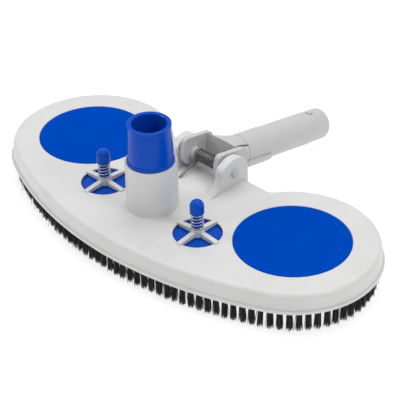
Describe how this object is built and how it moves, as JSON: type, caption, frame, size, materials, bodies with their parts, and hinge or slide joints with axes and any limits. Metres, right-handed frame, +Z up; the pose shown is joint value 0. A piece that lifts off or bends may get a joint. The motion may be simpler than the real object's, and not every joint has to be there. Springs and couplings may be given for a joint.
{
  "type": "pool vacuum head",
  "caption": "Two-lobed brush deck with a swivel hose cuff, sprung relief valves, weighted lobes and a sprung pole handle that tilts.",
  "frame": {"origin": "on the floor at the bristle tips, midway between the front edge and the end of the handle, on the plane of symmetry", "axes": "+X across the two lobes, +Y from the brush deck towards the end of the handle, +Z up from the pool floor"},
  "size_m": [0.385, 0.2756, 0.1169],
  "materials": {
    "white_plastic": "satin white moulded ABS",
    "handle_plastic": "fine matt light grey-white moulding",
    "blue_plastic": "satin royal blue moulding",
    "bristle": "black nylon filament",
    "stainless": "stainless steel",
    "spring_steel": "drawn steel wire",
    "cast_weight": "coated cast iron",
    "seal_rubber": "black elastomer",
    "pin_plastic": "grey-white acetal rod",
    "button_plastic": "grey-white acetal"
  },
  "bodies": {
    "deck": {"deck_shell": "white_plastic", "brush_rail": "white_plastic", "bristle_tufts": "bristle", "support_tufts": "bristle", "rail_screws": "stainless", "weight_cover_left": "blue_plastic", "weight_cover_right": "blue_plastic", "ballast_left": "cast_weight", "ballast_right": "cast_weight", "hinge_pin": "pin_plastic", "pin_retainer": "stainless", "torsion_spring": "spring_steel", "valve_spring_left": "spring_steel", "valve_spring_right": "spring_steel"},
    "cuff": {"hose_cuff": "blue_plastic", "cuff_seal": "seal_rubber", "cuff_retaining_ring": "stainless"},
    "valve_left": {"valve_plate_left": "blue_plastic", "valve_seal_left": "seal_rubber", "valve_knob_left": "blue_plastic"},
    "valve_right": {"valve_plate_right": "blue_plastic", "valve_seal_right": "seal_rubber", "valve_knob_right": "blue_plastic"},
    "handle": {"pole_handle": "handle_plastic", "torsion_spring_arm": "spring_steel", "clip_spring": "stainless"},
    "button_top": {"clip_button_top": "button_plastic"},
    "button_bottom": {"clip_button_bottom": "button_plastic"}
  },
  "joints": [
    {"name": "handle_tilt", "type": "hinge", "parent": "deck", "child": "handle", "pos_m": [0, -0.01083, 0.0504], "axis": [1, 0, 0], "range_deg": [0, 85], "stiffness_Nm_per_rad": 0.12, "springref_deg": -51.57},
    {"name": "hose_swivel", "type": "hinge", "parent": "deck", "child": "cuff", "pos_m": [0, -0.07703, 0.0814], "axis": [0, 0, 1], "continuous": true},
    {"name": "valve_left_press", "type": "slide", "parent": "deck", "child": "valve_left", "axis": [0, 0, -1], "range_m": [0, 0.006], "stiffness_N_per_m": 250, "springref_m": -0.008, "deforming": ["valve_spring_left"]},
    {"name": "valve_right_press", "type": "slide", "parent": "deck", "child": "valve_right", "axis": [0, 0, -1], "range_m": [0, 0.006], "stiffness_N_per_m": 250, "springref_m": -0.008, "deforming": ["valve_spring_right"]},
    {"name": "clip_button_top_press", "type": "slide", "parent": "handle", "child": "button_top", "axis": [0, -0.1908, -0.9816], "range_m": [0, 0.0018], "stiffness_N_per_m": 700, "springref_m": -0.002, "deforming": ["clip_spring"]},
    {"name": "clip_button_bottom_press", "type": "slide", "parent": "handle", "child": "button_bottom", "axis": [0, 0.1908, 0.9816], "range_m": [0, 0.0018], "stiffness_N_per_m": 700, "springref_m": -0.002}
  ]
}
